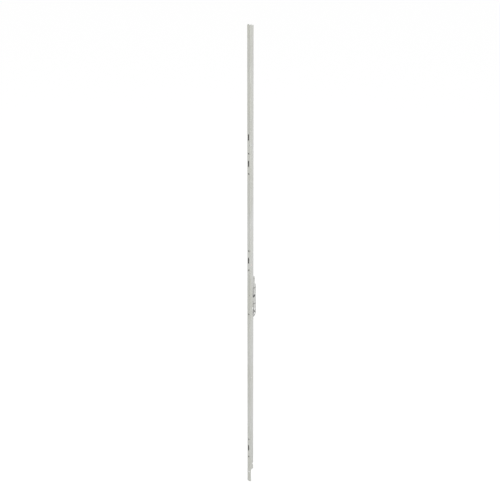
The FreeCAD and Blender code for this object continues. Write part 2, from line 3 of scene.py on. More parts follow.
import bmesh
import bpy
import numpy as np
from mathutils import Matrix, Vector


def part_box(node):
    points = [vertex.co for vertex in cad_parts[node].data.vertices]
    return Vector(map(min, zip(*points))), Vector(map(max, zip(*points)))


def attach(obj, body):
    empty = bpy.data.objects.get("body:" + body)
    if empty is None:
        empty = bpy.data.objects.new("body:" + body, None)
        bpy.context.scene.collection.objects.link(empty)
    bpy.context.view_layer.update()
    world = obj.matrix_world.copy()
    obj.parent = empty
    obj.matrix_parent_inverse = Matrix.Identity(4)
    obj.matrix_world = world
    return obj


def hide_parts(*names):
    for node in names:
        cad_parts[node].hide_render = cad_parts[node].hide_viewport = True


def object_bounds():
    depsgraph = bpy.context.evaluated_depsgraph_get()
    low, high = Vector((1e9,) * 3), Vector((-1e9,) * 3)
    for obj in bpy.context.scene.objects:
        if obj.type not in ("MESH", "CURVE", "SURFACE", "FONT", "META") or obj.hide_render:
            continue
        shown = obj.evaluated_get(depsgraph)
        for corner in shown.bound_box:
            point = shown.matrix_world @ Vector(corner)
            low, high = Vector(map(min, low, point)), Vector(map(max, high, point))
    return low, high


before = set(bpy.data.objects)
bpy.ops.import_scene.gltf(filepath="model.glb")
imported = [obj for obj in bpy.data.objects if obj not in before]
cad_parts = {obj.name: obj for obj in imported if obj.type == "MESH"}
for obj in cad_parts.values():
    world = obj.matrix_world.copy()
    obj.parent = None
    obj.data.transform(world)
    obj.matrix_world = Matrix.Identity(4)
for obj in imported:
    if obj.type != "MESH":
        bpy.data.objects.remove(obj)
cad_low, cad_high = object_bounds()


# Faceplate rail: a channel roll-formed from 2 mm steel sheet, punched with pin slots and screw
# holes, then zinc plated. Its marks run along it: roll lines, drips of the plating bath and fine
# scratches. Its edges and the rims of the pin slots are rubbed brighter. Its corners, holes and
# the channel's inner faces are painted darker as shade, with some oil and grime.
mm = 0.001
rail_face = (212, 213, 209)
rail_shade = (186, 187, 182)
rail_bare = (224, 224, 222)
plating_tint = (196, 196, 184)
# The dark colour that corners, holes and the channel's inner faces are painted towards as shade,
# and also the colour of real grime and oxide spots.
dust_and_shade = (116, 114, 106)
slot_width = 7.0
slot_length = 30.0
slot_middle_x = -1.5
spare_slot_z = 764.5
rubbed_margin = 4.0
rail_inside = 8.0
rail_front = cad_low[1] / mm


def copies(node, axis=2, gap=5.0):
    """Lowest and highest corners, in mm, of each solid of a node, in order along an axis. A solid
    ends where the node's sorted coordinates leave a gap of more than that."""
    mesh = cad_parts[node].data
    points = np.empty(3 * len(mesh.vertices))
    mesh.vertices.foreach_get("co", points)
    points = points.reshape(-1, 3) / mm
    points = points[np.argsort(points[:, axis])]
    ends = np.flatnonzero(np.diff(points[:, axis]) > gap) + 1
    return [(part.min(0), part.max(0)) for part in np.split(points, ends)]


sleeve_heights = [(low[2] + high[2]) / 2 for low, high in copies("screw_sleeves")]
lock_heights = [sum(pair) / 2 for pair in zip(sleeve_heights[::2], sleeve_heights[1::2])]


class Line:
    """One value of a finish. Arithmetic on it, from either side, adds Math nodes."""

    def __init__(self, finish, socket):
        self.finish = finish
        self.socket = socket

    def maths(self, operation, first, second=0.0):
        return self.finish.node("ShaderNodeMath", {"operation": operation}, {0: first, 1: second})

    def __add__(self, other):
        return self.maths("ADD", self, other)

    def __sub__(self, other):
        return self.maths("SUBTRACT", self, other)

    def __rsub__(self, other):
        return self.maths("SUBTRACT", other, self)

    def __mul__(self, other):
        return self.maths("MULTIPLY", self, other)

    def __truediv__(self, other):
        return self.maths("DIVIDE", self, other)

    def __rtruediv__(self, other):
        return self.maths("DIVIDE", other, self)

    def __pow__(self, other):
        return self.maths("POWER", self, other)

    def __abs__(self):
        return self.maths("ABSOLUTE", self)

    def at_least(self, other):
        return self.maths("MAXIMUM", self, other)

    def sine(self):
        return self.maths("SINE", self)

    __radd__ = __add__
    __rmul__ = __mul__


class Finish:
    """A finish built of nodes in a material or a world, from its patterns to its surface."""

    def __init__(self, owner):
        owner.use_nodes = True
        self.owner = owner
        self.tree = owner.node_tree
        self.tree.nodes.clear()

    def node(self, kind, settings=None, sockets=None, output=0):
        """Adds a node: its settings first, then the values or lines of its sockets."""
        made = self.tree.nodes.new(kind)
        for key, value in (settings or {}).items():
            setattr(made, key, value)
        for key, value in (sockets or {}).items():
            if isinstance(value, Line):
                self.tree.links.new(value.socket, made.inputs[key])
            else:
                made.inputs[key].default_value = value
        return Line(self, made.outputs[output]) if made.outputs else self.owner

    def part(self, vector, axis):
        """The X, Y or Z part of a vector."""
        return self.node("ShaderNodeSeparateXYZ", {}, {0: vector}, axis)

    def place(self):
        """Where a point of the object is, in metres."""
        return self.node("ShaderNodeTexCoord", output="Object")

    def along(self, axis):
        """How far a point lies along X, Y or Z, in mm."""
        return self.part(self.place(), axis) / mm

    def cloud(self, size, drawn=(1, 1, 1), detail=2.0, turn=(0, 0, 0)):
        """Soft random pattern from 0 to 1, its spots about size mm wide and drawn out as many
        times along X, Y and Z, or along these axes turned by angles."""
        moved = self.node("ShaderNodeMapping", {"vector_type": "TEXTURE"},
                          {"Vector": self.place(), "Rotation": turn, "Scale": drawn})
        return self.node("ShaderNodeTexNoise", {}, {"Vector": moved, "Scale": 1 / (size * mm),
                                                   "Detail": detail, "Roughness": 0.55})

    def patches(self, size, drawn=(1, 1, 1), detail=3.0):
        """The soft pattern with clear light and dark places."""
        return self.step(self.cloud(size, drawn, detail), 0.33, 0.67)

    def step(self, value, low, high):
        """Goes smoothly from 0 to 1 while the value goes from low to high."""
        return self.node("ShaderNodeMapRange", {"interpolation_type": "SMOOTHSTEP"},
                         {"Value": value, "From Min": low, "From Max": high})

    def mix(self, share, first, second):
        """Colour between two colours."""
        return self.node("ShaderNodeMix", {"data_type": "RGBA"}, {0: share, 6: first, 7: second}, 2)

    def edges(self, radius):
        """Normal of the surface with its edges eased by a radius in mm, and the share of edge."""
        eased = self.node("ShaderNodeBevel", {"samples": 6}, {"Radius": radius * mm})
        flat = self.node("ShaderNodeNewGeometry", output="Normal")
        same = self.node("ShaderNodeVectorMath", {"operation": "DOT_PRODUCT"},
                         {0: eased, 1: flat}, "Value")
        return eased, self.step(same, 0.99, 0.75)

    def corners(self, reach):
        """Share of sky that the surface around hides within a reach in mm: corners and holes. It
        masks painted shade, and on greased parts the grease that gathers there.
        """
        return 1 - self.node("ShaderNodeAmbientOcclusion", {"samples": 8},
                             {"Distance": reach * mm}, "AO")

    def relief(self, height, depth, normal):
        """Fine relief: a height pattern from 0 to 1, times a depth in mm."""
        return self.node("ShaderNodeBump", {}, {"Distance": depth * mm, "Height": height,
                                                "Normal": normal})

    def close(self, surface):
        """Ends the finish with its surface, and gives the finished material or world."""
        kind = "World" if isinstance(self.owner, bpy.types.World) else "Material"
        return self.node("ShaderNodeOutput" + kind, {}, {"Surface": surface})

    def coat(self, **sockets):
        """Ends the finish with a Principled surface; the sockets' names have _ for a space."""
        named = {key.replace("_", " "): value for key, value in sockets.items()}
        return self.close(self.node("ShaderNodeBsdfPrincipled", {}, named))


def finish_named(name):
    return Finish(bpy.data.materials.new(name))


def tone(colour):
    """Colour on a scale of 0 to 255, as the share of light that it throws back."""
    value = np.array(colour) / 255
    return (*np.where(value < 0.04045, value / 12.92, ((value + 0.055) / 1.055) ** 2.4), 1.0)


def dress(finish, *nodes):
    """Gives CAD nodes their finish."""
    for node in nodes:
        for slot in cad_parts[node].material_slots:
            slot.material = finish


def plated_sheet(name, face, shade, dirt_and_shade_colour, rubbed, soil_and_shade):
    """Zinc-plated sheet. Rubbed gives the share that this piece's use has worn bright. The second
    function gives a share painted in the grime colour: painted shade with some real grime. Corners
    and holes are painted darker as shade too."""
    finish = finish_named(name)
    plating = finish.patches(60, (1, 1, 4), 4)
    bloom = finish.patches(2.4, (1, 1, 1.6), 5)
    rolling = finish.patches(0.5, (1, 1, 120), 2)
    bands = finish.patches(3.0, (1, 1, 160), 1)
    drips = finish.step(finish.cloud(5, (1, 1, 26), 2), 0.55, 0.72)
    tint = finish.patches(130, (1, 1, 2))
    spots = finish.step(finish.cloud(1.3, detail=1), 0.70, 0.76)
    scratches = finish.step(finish.cloud(0.9, (1, 1, 34), 0), 0.72, 0.76)
    scuffs = finish.step(finish.cloud(0.6, (14, 14, 1), 0, (0.5, 0.6, 0)), 0.75, 0.8) \
        + finish.step(finish.cloud(0.7, (20, 20, 1), 0, (-0.3, -0.35, 0)), 0.76, 0.81)
    corner_shade_and_grime = finish.corners(2.5)
    normal, edge = finish.edges(0.35)
    dirt_and_shade_share = soil_and_shade(finish)
    marks = (0.4 * scratches + 0.3 * scuffs) * (1 - 0.85 * dirt_and_shade_share)
    worn = edge * (0.1 + 0.5 * bloom) + rubbed(finish) + marks
    ground = finish.mix(0.28 * plating + 0.26 * bloom + 0.26 * rolling + 0.2 * bands,
                        tone(face), tone(shade))
    tinted = finish.mix(0.4 * tint + 0.3 * drips, ground, tone(plating_tint))
    # Painted shade: corners, holes and the soiling share darken towards the dark colour; the spots
    # are real oxide marks.
    with_painted_shade = finish.mix(0.6 * corner_shade_and_grime * (0.5 + bloom) + 0.22 * spots + dirt_and_shade_share, tinted, tone(dirt_and_shade_colour))
    colour = finish.mix(worn, with_painted_shade, tone(rail_bare))
    rough = 0.37 + 0.12 * plating + 0.12 * bloom + 0.1 * drips + 0.15 * corner_shade_and_grime - 0.12 * worn
    height = 0.5 * rolling + 0.4 * bloom + 0.3 * bands - 0.6 * scratches - 0.5 * scuffs
    return finish.coat(Base_Color=colour, Metallic=0.6, Roughness=rough,
                       Normal=finish.relief(height, 0.035, normal))


def slot_rims(finish):
    """Margin of the pin slots on the front, rubbed by the pins. It fades out from a slot's
    outline, which is a straight run between two half circles."""
    aside = finish.along("X") - slot_middle_x
    z = finish.along("Z")
    front = finish.step(finish.along("Y"), rail_front + 0.3, rail_front + 0.1)
    straight = (slot_length - slot_width) / 2
    rims = 0.0
    for height in (*lock_heights, spare_slot_z):
        over = (abs(z - height) - straight).at_least(0.0)
        away = (aside * aside + over * over) ** 0.5
        rims = rims + finish.step(away, slot_width / 2 + rubbed_margin, slot_width / 2)
    return 0.5 * rims * front * finish.cloud(1.8, (1, 1, 8))


def rail_soil_and_shade(finish):
    """Painted shade with some oil and grime: the channel's inner faces and the walls of its holes
    are darkened, in patches.
    """
    inside = finish.step(abs(finish.along("X")), rail_inside + 0.4, rail_inside)
    behind = finish.step(finish.along("Y"), rail_front + 0.1, rail_front + 1.1)
    return inside * behind * (0.55 + 0.4 * finish.patches(14, (1, 1, 3)))


dress(plated_sheet("plated_rail", rail_face, rail_shade, dust_and_shade, slot_rims, rail_soil_and_shade),
      "faceplate_rail")


# Screw sleeves: short steel tubes, pressed into the rail, sunk a little below its face and rolled
# over a washer behind the rod. They are turned and phosphated, and their bores are painted near
# black as shade.
sleeve_bore = 5.4
sleeve_mouth = 0.45
sleeve_mouth_depth = 0.5
sleeve_lip = 0.4
sleeve_face = (108, 108, 106)
sleeve_shade = (80, 80, 79)
# Near black painted into the sleeves' bores as shade.
bore_shade = (38, 38, 39)
sharp_angle = math.radians(32)


def eased(corners, reach, steps=4):
    """Outline with eased corners: a corner c becomes (1-t)^2 a + 2 t (1-t) c + t^2 b, where a
    and b lie on its two sides, at most reach away."""
    points = np.asarray(corners, float)
    reach = np.broadcast_to(np.asarray(reach, float), len(points))[:, None]
    share = np.linspace(0, 1, steps)[None, :, None]

    def beside(shift):
        side = np.roll(points, shift, 0) - points
        length = np.maximum(np.linalg.norm(side, axis=1, keepdims=True), 1e-9)
        return (points + side * np.minimum(reach / length, 0.5))[:, None]

    curve = (1 - share) ** 2 * beside(1) + 2 * share * (1 - share) * points[:, None] \
        + share ** 2 * beside(-1)
    return curve.reshape(-1, 2)


def skin(grid, closed=True, capped=False):
    """Points and faces of a grid (rows, round, 3) in mm. Each ring closes on itself, and the
    rows too where closed. A ring of one place becomes a pole."""
    rows, around = grid.shape[:2]
    number = np.arange(rows * around).reshape(rows, around)
    beside = np.roll(number, -1, 1)
    corners = np.stack([number, beside, np.roll(beside, -1, 0), np.roll(number, -1, 0)], -1)
    corners = corners[:rows if closed else rows - 1].reshape(-1, 4)
    points, place = np.unique(np.round(grid.reshape(-1, 3), 5), axis=0, return_inverse=True)
    place = place.reshape(-1)
    faces = place[corners]
    first, second, third, fourth = faces.T
    near_pole = (first == second) & (third != fourth) & (second != third)
    far_pole = (third == fourth) & (first != second) & (second != third)
    full = (first != second) & (third != fourth) & (second != third)
    made = faces[full].tolist() + faces[near_pole][:, [0, 2, 3]].tolist()
    made += faces[far_pole][:, [0, 1, 2]].tolist()
    if capped:
        made += [place[number[0]].tolist(), place[number[-1]].tolist()]
    return points, made, np.zeros_like(points)


def turned(profile, axis, centre, closed=False, around=48):
    """Turned piece: profile points (along, radius) carried round an axis through a centre, at
    centre + along * axis + radius * (cos a * side + sin a * up). It also gives each point's
    distances from the axis and along it."""
    profile = np.asarray(profile, float)
    angle = np.linspace(0, 2 * math.pi, around, endpoint=False)
    basis = np.roll(np.eye(3), axis, 1)
    ring = np.cos(angle)[:, None] * basis[1] + np.sin(angle)[:, None] * basis[2]
    grid = centre + profile[:, None, :1] * basis[0] + profile[:, None, 1:] * ring
    points, faces, lathe = skin(grid, closed)
    lathe[:, 0] = np.linalg.norm(np.delete(points - centre, axis, 1), axis=1)
    lathe[:, 1] = points[:, axis]
    return points, faces, lathe


def piece(name, skins, finish, body, slot, *nodes):
    """One object from several skins, its faces turned outwards, in place of CAD nodes. Its
    attribute lathe holds each point's distances from and along the axis it was turned on."""
    points, faces, lathe = zip(*skins)
    starts = np.cumsum([0] + [len(part) for part in points])
    joined = [[corner + int(start) for corner in face]
              for start, part in zip(starts, faces) for face in part]
    mesh = bpy.data.meshes.new(name)
    mesh.from_pydata((np.concatenate(points) * mm).tolist(), [], joined)
    shell = bmesh.new()
    shell.from_mesh(mesh)
    bmesh.ops.recalc_face_normals(shell, faces=shell.faces)
    shell.to_mesh(mesh)
    shell.free()
    marks = mesh.attributes.new("lathe", "FLOAT_VECTOR", "POINT")
    marks.data.foreach_set("vector", np.concatenate(lathe).ravel())
    mesh.shade_smooth()
    mesh.set_sharp_from_angle(angle=sharp_angle)
    mesh.materials.append(finish)
    made = bpy.data.objects.new(name, mesh)
    bpy.context.scene.collection.objects.link(made)
    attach(made, body)
    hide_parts(*nodes)


def turned_steel(name, face, shade, bore=0.0):
    """Turned steel: fine rings round its axis, cloudy plating, painted shade darkening its
    corners, and a bore painted near black as shade if it has one.
    """
    finish = finish_named(name)
    lathe = finish.node("ShaderNodeAttribute", {"attribute_name": "lathe"}, output="Vector")
    radius = finish.part(lathe, "X")
    rings = ((radius + finish.part(lathe, "Y")) * 24 + finish.cloud(2) * 4).sine() * 0.5 + 0.5
    plating = finish.cloud(3, detail=3)
    corner_shade_and_grime = finish.corners(1.5)
    normal, edge = finish.edges(0.12)
    ground = finish.mix(0.6 * plating + 0.3 * rings, tone(face), tone(shade))
    # Painted shade: corners and holes darken towards the dark colour.
    with_painted_shade = finish.mix(0.55 * corner_shade_and_grime, ground, tone(dust_and_shade))
    colour = finish.mix(0.55 * edge, with_painted_shade, tone(rail_bare))
    # Painted shade: the bore's wall is painted near black.
    if bore:
        inside = finish.step(radius, bore / 2 + 0.25, bore / 2 + 0.05)
        colour = finish.mix(inside, colour, tone(bore_shade))
    return finish.coat(Base_Color=colour, Metallic=0.8, Roughness=0.3 + 0.2 * plating,
                       Normal=finish.relief(rings, 0.012, normal))


def sleeve(low, high):
    """Tube with a countersunk mouth and, at its rear, the lip rolled over the washer."""
    lip = (high[0] - low[0]) / 2
    wall = lip - sleeve_lip
    bore = sleeve_bore / 2
    start, end = low[1], high[1]
    outline = [(start, wall), (end - sleeve_lip, wall), (end - sleeve_lip, lip), (end, lip),
               (end, bore), (start + sleeve_mouth_depth, bore), (start, bore + sleeve_mouth)]
    profile = eased(outline, [0.1, 0, 0.15, 0.3, 0.3, 0.1, 0.1])
    return turned(profile, 1, (low + high) / 2 * (1, 0, 1), closed=True)


piece("sleeves", [sleeve(*ends) for ends in copies("screw_sleeves")],
      turned_steel("phosphated_sleeves", sleeve_face, sleeve_shade, sleeve_bore), "lock_frame",
      "rail_steel", "screw_sleeves")


# Washers behind the rod: six stamped steel rings, their front edges rounded by the punch.
washer_hole = 7.1


def washer(low, high):
    """Flat ring with eased edges."""
    rim = (high[0] - low[0]) / 2
    outline = [(low[1], washer_hole / 2), (low[1], rim), (high[1], rim), (high[1], washer_hole / 2)]
    profile = eased(outline, [0.15, 0.35, 0.1, 0.1])
    return turned(profile, 1, (low + high) / 2 * (1, 0, 1), closed=True)


piece("washers", [washer(*ends) for ends in copies("sleeve_washers")],
      turned_steel("plated_washers", rail_face, rail_shade), "lock_frame", "rail_steel",
      "sleeve_washers")


# Guide clips: moulded acetal bridges between rail and rod. Their cheeks flare at both ends so
# that the rod runs in, and a round lug on each side snaps into the rail's flange.
clip_outer = 8.0
clip_inner = 7.1
clip_skin = 1.1
clip_straight = 0.72
clip_flare = 0.35
lug_radius = 2.5
lug_depth = 5.0
gate_radius = 1.1
gate_depth = 0.3
clip_white = (248, 248, 245)
clip_cloud = (240, 240, 235)


def moulded(name, face, shade, glow):
    """Moulded plastic: spark-eroded skin, slight clouding, light that sinks in a little, and
    painted shade darkening its corners.
    """
    finish = finish_named(name)
    clouding = finish.cloud(9, detail=3)
    pits = finish.cloud(0.22, detail=1)
    corner_shade_and_grime = finish.corners(1.5)
    normal, edge = finish.edges(0.2)
    ground = finish.mix(0.6 * clouding, tone(face), tone(shade))
    # Painted shade: corners darken towards the dark colour.
    colour = finish.mix(0.5 * corner_shade_and_grime, ground, tone(dust_and_shade))
    return finish.coat(Base_Color=colour, Roughness=0.42 + 0.12 * pits - 0.08 * edge,
                       Subsurface_Weight=glow, Subsurface_Scale=0.6 * mm, IOR=1.48,
                       Normal=finish.relief(pits, 0.012, normal))


def clip_bridge(low, high):
    """Channel whose walls thin towards both ends as the square of the way past its straight
    middle, which makes the rod's lead-in."""
    middle = (low[2] + high[2]) / 2
    half = (high[2] - low[2]) / 2
    upper = np.linspace(clip_straight * half, half, 6)
    height = np.concatenate([-upper[::-1], upper])
    flare = clip_flare * ((np.abs(height) / half - clip_straight) / (1 - clip_straight)) ** 2
    front, back = low[1], high[1]
    floor = front + clip_skin
    corners = [(-clip_outer, front), (clip_outer, front), (clip_outer, back), (clip_inner, back),
               (clip_inner, floor), (-clip_inner, floor), (-clip_inner, back), (-clip_outer, back)]
    flat = eased(corners, [1.2, 1.2, 0.2, 0.2, 0.4, 0.4, 0.2, 0.2])
    inner = (np.abs(flat[:, 0]) < (clip_outer + clip_inner) / 2) & (flat[:, 1] > floor - 0.1)
    x = flat[:, 0] + np.sign(flat[:, 0]) * inner * flare[:, None]
    y = flat[:, 1] - 0.6 * (inner & (flat[:, 1] < floor + 0.5)) * flare[:, None]
    z = np.broadcast_to(height[:, None] + middle, x.shape)
    return skin(np.stack([x, y, z], 2), closed=False, capped=True)


def clip_lug(low, high, side):
    """Round lug with a domed rim and a dimple left by the gate."""
    end = high[0]
    outline = [(clip_inner + 0.3, 0), (clip_inner + 0.3, lug_radius), (end, lug_radius),
               (end, gate_radius), (end - gate_depth, gate_radius - 0.3), (end - gate_depth, 0)]
    profile = eased(outline, [0, 0, 0.5, 0.2, 0.2, 0])
    return turned(profile * (side, 1), 0, (0, low[1] + lug_depth, (low[2] + high[2]) / 2))


clip_finish = moulded("moulded_clips", clip_white, clip_cloud, 0.12)
for level in ("upper", "middle", "lower"):
    ends = copies("guide_clip_" + level, gap=100.0)[0]
    piece("clip_" + level, [clip_bridge(*ends), clip_lug(*ends, 1), clip_lug(*ends, -1)],
          clip_finish, "lock_frame", "natural_acetal", "guide_clip_" + level)


# Drive rod: a narrower channel of 1.5 mm sheet that slides behind the rail. It is plated like
# the rail, a little greyer. Its rear edges are sheared, and its flanges rub in the guides. The
# web and the flanges' inner faces are painted dark as shade, with some old grease.
rod_face = (213, 213, 212)
rod_shade = (188, 188, 186)
# Dark colour of the rod's painted shade, in its corners and channel, with some old grease.
old_grease_and_shade = (84, 82, 76)
rod_rear = -4.3
rod_inside = 5.4
shear_depth = 0.25


def rod_rubbing(finish):
    """Bright sheared rear edge, and streaks along the flanges."""
    sheared = finish.step(finish.along("Y"), rod_rear - shear_depth, rod_rear - 0.05)
    streaks = finish.step(finish.cloud(1.6, (1, 1, 150), 1), 0.58, 0.72)
    return 0.45 * sheared + 0.3 * streaks


def rod_soil_and_shade(finish):
    """Painted shade with some old grease: both sides of the web, and the flanges from within, are
    darkened in patches.
    """
    inside = finish.step(abs(finish.along("X")), rod_inside + 0.1, rod_inside - 0.2)
    return inside * (0.45 + 0.5 * finish.patches(14, (1, 1, 4)))


dress(plated_sheet("plated_rod", rod_face, rod_shade, old_grease_and_shade, rod_rubbing, rod_soil_and_shade),
      "drive_rod")


# Lock plates: case-hardened steel with a keyhole, riveted behind the rod's web. They are darker
# than the rod, with a burnished track beside the narrow slot where the pin's neck slides.
plate_face = (160, 160, 160)
plate_shade = (132, 132, 135)
# Dark colour that hardened steel's corners are painted towards as shade.
hardened_corner_shade = (96, 95, 91)
burnished = (200, 200, 198)
neck_half = 2.4
track_width = 1.4


def hardened(name, face, shade, track=0.0):
    """Hardened steel: cloudy scale, fine grinding lines across X, burnished where it slides, and
    painted shade darkening its corners.
    """
    finish = finish_named(name)
    scale = finish.cloud(5, detail=4)
    grinding = finish.cloud(0.4, (30, 1, 1), 1)
    corner_shade_and_grime = finish.corners(1.5)
    normal, edge = finish.edges(0.2)
    ground = finish.mix(0.55 * scale + 0.3 * grinding, tone(face), tone(shade))
    # Painted shade: corners darken towards the dark colour.
    with_painted_shade = finish.mix(0.5 * corner_shade_and_grime, ground, tone(hardened_corner_shade))
    worn = 0.6 * edge
    if track:
        aside = abs(finish.along("X") - slot_middle_x)
        worn = worn + track * finish.step(aside, neck_half + track_width, neck_half)
    colour = finish.mix(worn, with_painted_shade, tone(burnished))
    return finish.coat(Base_Color=colour, Metallic=0.85, Roughness=0.32 + 0.2 * scale,
                       Normal=finish.relief(grinding, 0.015, normal))


dress(hardened("hardened_plates", plate_face, plate_shade, 0.5),
      "lock_plate_upper", "lock_plate_middle", "lock_plate_lower")


# Rivets of the lock plates: two steel rivets a plate, their snap heads formed behind it.
rivet_face = (180, 180, 178)
rivet_shade = (146, 146, 144)
plate_rivet_shank = 1.5
plate_rivet_head = 0.5
plate_rivet_crown = 0.9


def plate_rivet(low, high):
    """Shank with a low domed head at its rear end."""
    start, end = low[1], high[1]
    head = (high[0] - low[0]) / 2
    under = end - plate_rivet_head
    outline = [(start, 0), (start, plate_rivet_shank), (under, plate_rivet_shank), (under, head),
               (end - 0.1, head - 0.2), (end, plate_rivet_crown), (end, 0)]
    profile = eased(outline, [0, 0.1, 0, 0.05, 0.6, plate_rivet_crown, 0])
    return turned(profile, 1, (low + high) / 2 * (1, 0, 1))


rivet_finish = turned_steel("steel_rivets", rivet_face, rivet_shade)
piece("plate_rivets", [plate_rivet(*ends) for ends in copies("lock_plate_rivets")],
      rivet_finish, "rod_assembly", "rivet_steel", "lock_plate_rivets")


# Rack and hub: a hardened bar with straight teeth on the rod, and the toothed hub that moves it.
# Both are cut from steel and greased: the film is thickest on the teeth, where it has gathered.
grease = (118, 106, 76)
rack_face = (156, 156, 157)
rack_shade = (128, 128, 130)
rack_film_start = -13.5
rack_film_full = -10.5
hub_face = (160, 160, 160)
hub_shade = (130, 130, 132)
hub_film_start = 7.6
hub_film_full = 10.0


def greased(name, face, shade, cover):
    """Machined steel under a film of grease that lies thicker where the cover is high."""
    finish = finish_named(name)
    clouding = finish.cloud(3, detail=4)
    cut = finish.cloud(0.3, (40, 1, 1), 1)
    corner_shade_and_grime = finish.corners(1.5)
    normal, edge = finish.edges(0.12)
    film = finish.step(cover(finish) + 0.7 * corner_shade_and_grime + 0.6 * clouding, 0.5, 0.95)
    ground = finish.mix(0.5 * clouding + 0.3 * cut, tone(face), tone(shade))
    oiled = finish.mix(0.6 * film, ground, tone(grease))
    colour = finish.mix(0.5 * edge * (1 - film), oiled, tone(burnished))
    return finish.coat(Base_Color=colour, Metallic=0.85, Roughness=0.28 + 0.16 * clouding,
                       Coat_Weight=0.8 * film, Coat_Roughness=0.12,
                       Normal=finish.relief(cut, 0.012, normal))


def hub_cover(finish):
    """Grows away from the spindle's axis, and is full at the middle of the teeth's height."""
    y = finish.along("Y")
    z = finish.along("Z")
    return finish.step((y * y + z * z) ** 0.5, hub_film_start, hub_film_full)


def rack_cover(finish):
    """The rack's teeth point to the rear, where the hub is."""
    return finish.step(finish.along("Y"), rack_film_start, rack_film_full)


dress(greased("greased_rack", rack_face, rack_shade, rack_cover), "gear_rack")
dress(greased("greased_hub", hub_face, hub_shade, hub_cover), "drive_hub")


def plain_pin(axis, low, high, ease=0.2):
    """Round pin between the two ends of a solid along an axis, with eased rims."""
    across = (axis + 1) % 3
    radius = (high[across] - low[across]) / 2
    outline = [(low[axis], 0), (low[axis], radius), (high[axis], radius), (high[axis], 0)]
    centre = (low + high) / 2
    centre[axis] = 0.0
    return turned(eased(outline, [0, ease, ease, 0]), axis, centre)


piece("rack_pins", [plain_pin(1, *ends) for ends in copies("rack_rivets")], rivet_finish,
      "rod_assembly", "rivet_steel", "rack_rivets")


# Hub bushes: two moulded rings in the gearcase halves in which the hub's journals turn.
bush_bore = 16.1
bush_face = (200, 200, 196)
bush_shade = (184, 184, 180)


def bush(low, high):
    """Ring whose bore is eased at its ends."""
    rim = (high[1] - low[1]) / 2
    outline = [(low[0], bush_bore / 2), (low[0], rim), (high[0], rim), (high[0], bush_bore / 2)]
    profile = eased(outline, [0.2, 0.1, 0.1, 0.2])
    return turned(profile, 0, (0, 0, 0), closed=True, around=72)


piece("bushes", [bush(*ends) for ends in copies("hub_bushes", axis=0)],
      moulded("moulded_bushes", bush_face, bush_shade, 0.05), "lock_frame", "natural_acetal",
      "hub_bushes")


# Gearcase: two die-cast zinc halves that meet in a parting line round the rim. Their skin shows
# how the metal flowed, and round the spindle hole the handle's plate has polished the face.
case_face = (214, 214, 211)
case_shade = (188, 188, 185)
case_bright = (232, 232, 229)
case_seam = (140, 140, 137)
case_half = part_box("gearcase_near")[1][0] / mm
polish_inner = 9.0
polish_outer = 16.0


def cast(name):
    """Die-cast zinc alloy: flow clouds, a fine pitted skin, a polished ring, the seam, and
    painted shade darkening its corners.
    """
    finish = finish_named(name)
    aside = abs(finish.along("X"))
    y = finish.along("Y")
    z = finish.along("Z")
    flow = finish.patches(20, (1, 1, 2), 5)
    swirls = ((z + y) * 0.22 + flow * 7).sine() * 0.5 + 0.5
    mottle = finish.patches(2.4, detail=4)
    pits = finish.cloud(0.45, detail=3)
    corner_shade_and_grime = finish.corners(2.5)
    normal, edge = finish.edges(0.45)
    radius = (y * y + z * z) ** 0.5
    polish = finish.step(radius, polish_outer, polish_inner) \
        * finish.step(aside, case_half - 0.2, case_half - 0.05)
    rings = (radius * 9 + mottle * 3).sine() * 0.5 + 0.5
    seam = finish.step(aside, 0.2, 0.08)
    ground = finish.mix(0.3 * flow + 0.35 * mottle + 0.3 * swirls, tone(case_face),
                        tone(case_shade))
    # Painted shade: corners darken towards the dark colour.
    with_painted_shade = finish.mix(0.6 * corner_shade_and_grime, ground, tone(dust_and_shade))
    bright = finish.mix(0.4 * edge + 0.4 * polish * rings, with_painted_shade, tone(case_bright))
    colour = finish.mix(0.6 * seam, bright, tone(case_seam))
    height = 0.6 * pits + 0.4 * mottle + 0.25 * rings * polish - 1.5 * seam
    return finish.coat(Base_Color=colour, Metallic=0.55,
                       Roughness=0.44 + 0.2 * mottle - 0.12 * polish,
                       Normal=finish.relief(height, 0.06, normal))


dress(cast("cast_case"), "gearcase_near", "gearcase_far")


# Rivets and posts of the gearcase: five steel rivets whose spun heads lie flush in the sides, and
# two countersunk posts that come through the faceplate and carry the case.
spun_shank = 2.0
spun_head = 0.6
spun_dish = 1.6
spun_dish_floor = 1.0
spun_dish_depth = 0.35
post_shank = 3.0
post_dish = 1.7
post_dish_floor = 1.1
post_dish_depth = 0.25
countersink = 1.3
post_face = (196, 197, 193)
post_shade = (172, 173, 169)


def spun_rivet(low, high):
    """Rivet along X with a dished head at each end, the same on both sides of its middle."""
    end = high[0]
    rim = (high[1] - low[1]) / 2
    half = [(end - spun_head, spun_shank), (end - spun_head, rim), (end, rim),
            (end, spun_dish), (end - spun_dish_depth, spun_dish_floor),
            (end - spun_dish_depth, 0)]
    reach = [0, 0, 0.2, 0.5, 0.4, 0]
    outline = [(-along, radius) for along, radius in half[::-1]] + half
    return turned(eased(outline, reach[::-1] + reach), 0, (low + high) / 2 * (0, 1, 1))


def post(low, high):
    """Post along Y with a countersunk head, dished where the riveting tool stood."""
    start, end = low[1], high[1]
    head = (high[0] - low[0]) / 2
    sunk = start + post_dish_depth
    outline = [(sunk, 0), (sunk, post_dish_floor), (start, post_dish), (start, head),
               (start + countersink, post_shank), (end, post_shank), (end, 0)]
    profile = eased(outline, [0, 0.3, 0.3, 0.1, 0.2, 0.5, 0])
    return turned(profile, 1, (low + high) / 2 * (1, 0, 1))


piece("case_spun_rivets", [spun_rivet(*ends) for ends in copies("case_rivets")], rivet_finish,
      "lock_frame", "rivet_steel", "case_rivets")
piece("posts", [post(*ends) for ends in copies("case_posts")],
      turned_steel("plated_posts", post_face, post_shade), "lock_frame", "rail_steel",
      "case_posts")


